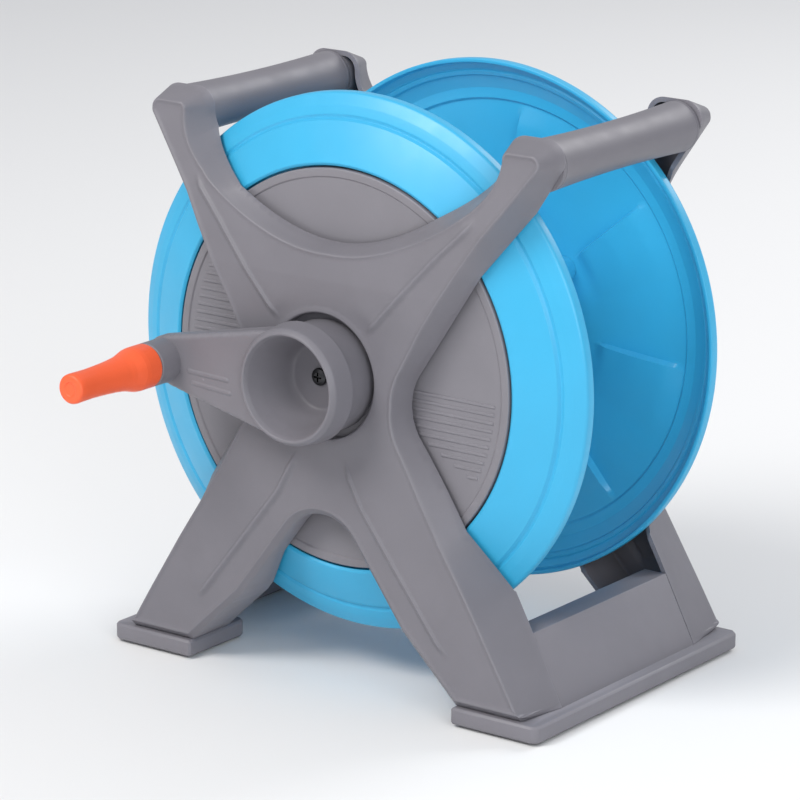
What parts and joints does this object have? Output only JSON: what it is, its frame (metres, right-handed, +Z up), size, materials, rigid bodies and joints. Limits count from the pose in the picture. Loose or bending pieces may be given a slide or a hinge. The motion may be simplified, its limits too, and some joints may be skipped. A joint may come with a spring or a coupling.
{
  "type": "hose reel",
  "caption": "Free-standing garden hose reel: dished blue drum on an X-shaped grey stand with tie bars and base rails, wound by a crank with an orange grip, water inlet at the rear hub.",
  "frame": {"origin": "on the floor, under the middle of the whole reel", "axes": "drum axis along Y, crank at -Y, water inlet at +Y, +Z up"},
  "size_m": [0.34, 0.3698, 0.374],
  "materials": {
    "frame_plastic": "fine matt moulded",
    "cover_plastic": "satin moulded",
    "drum_plastic": "satin gloss moulded",
    "grip_plastic": "satin moulded",
    "natural_plastic": "satin",
    "rubber": "matt",
    "steel": "zinc plated"
  },
  "bodies": {
    "stand": {"front_frame": "frame_plastic", "rear_frame": "frame_plastic", "tie_bar_left": "frame_plastic", "tie_bar_right": "frame_plastic", "base_rail_left": "frame_plastic", "base_rail_right": "frame_plastic", "foot_pad_front_left": "rubber", "foot_pad_front_right": "rubber", "foot_pad_rear_left": "rubber", "foot_pad_rear_right": "rubber", "rail_screw_front_left": "steel", "rail_screw_front_right": "steel", "rail_screw_rear_left": "steel", "rail_screw_rear_right": "steel", "front_bush": "natural_plastic", "rear_bush": "natural_plastic", "inlet_plate": "frame_plastic", "inlet_screw_1": "steel", "inlet_screw_2": "steel", "inlet_screw_3": "steel", "inlet_nipple": "frame_plastic", "inlet_nut": "frame_plastic", "inlet_seal": "rubber", "o_ring_inner": "rubber", "o_ring_outer": "rubber"},
    "drum": {"front_flange": "drum_plastic", "rear_flange": "drum_plastic", "drum_core": "drum_plastic", "front_cover": "cover_plastic", "rear_cover": "cover_plastic", "flange_screw_front_1": "steel", "flange_screw_front_2": "steel", "flange_screw_front_3": "steel", "flange_screw_rear_1": "steel", "flange_screw_rear_2": "steel", "flange_screw_rear_3": "steel", "water_tube": "natural_plastic", "outlet_elbow": "frame_plastic", "outlet_nipple": "frame_plastic", "outlet_seal": "rubber", "crank": "frame_plastic", "crank_screw": "steel", "grip_pin": "steel"},
    "grip": {"crank_grip": "grip_plastic"}
  },
  "joints": [
    {"name": "drum_spin", "type": "hinge", "parent": "stand", "child": "drum", "pos_m": [0, 0.0449, 0.204], "axis": [0, 1, 0], "continuous": true},
    {"name": "grip_spin", "type": "hinge", "parent": "drum", "child": "grip", "pos_m": [-0.101, 0.0449, 0.204], "axis": [0, 1, 0], "continuous": true}
  ]
}
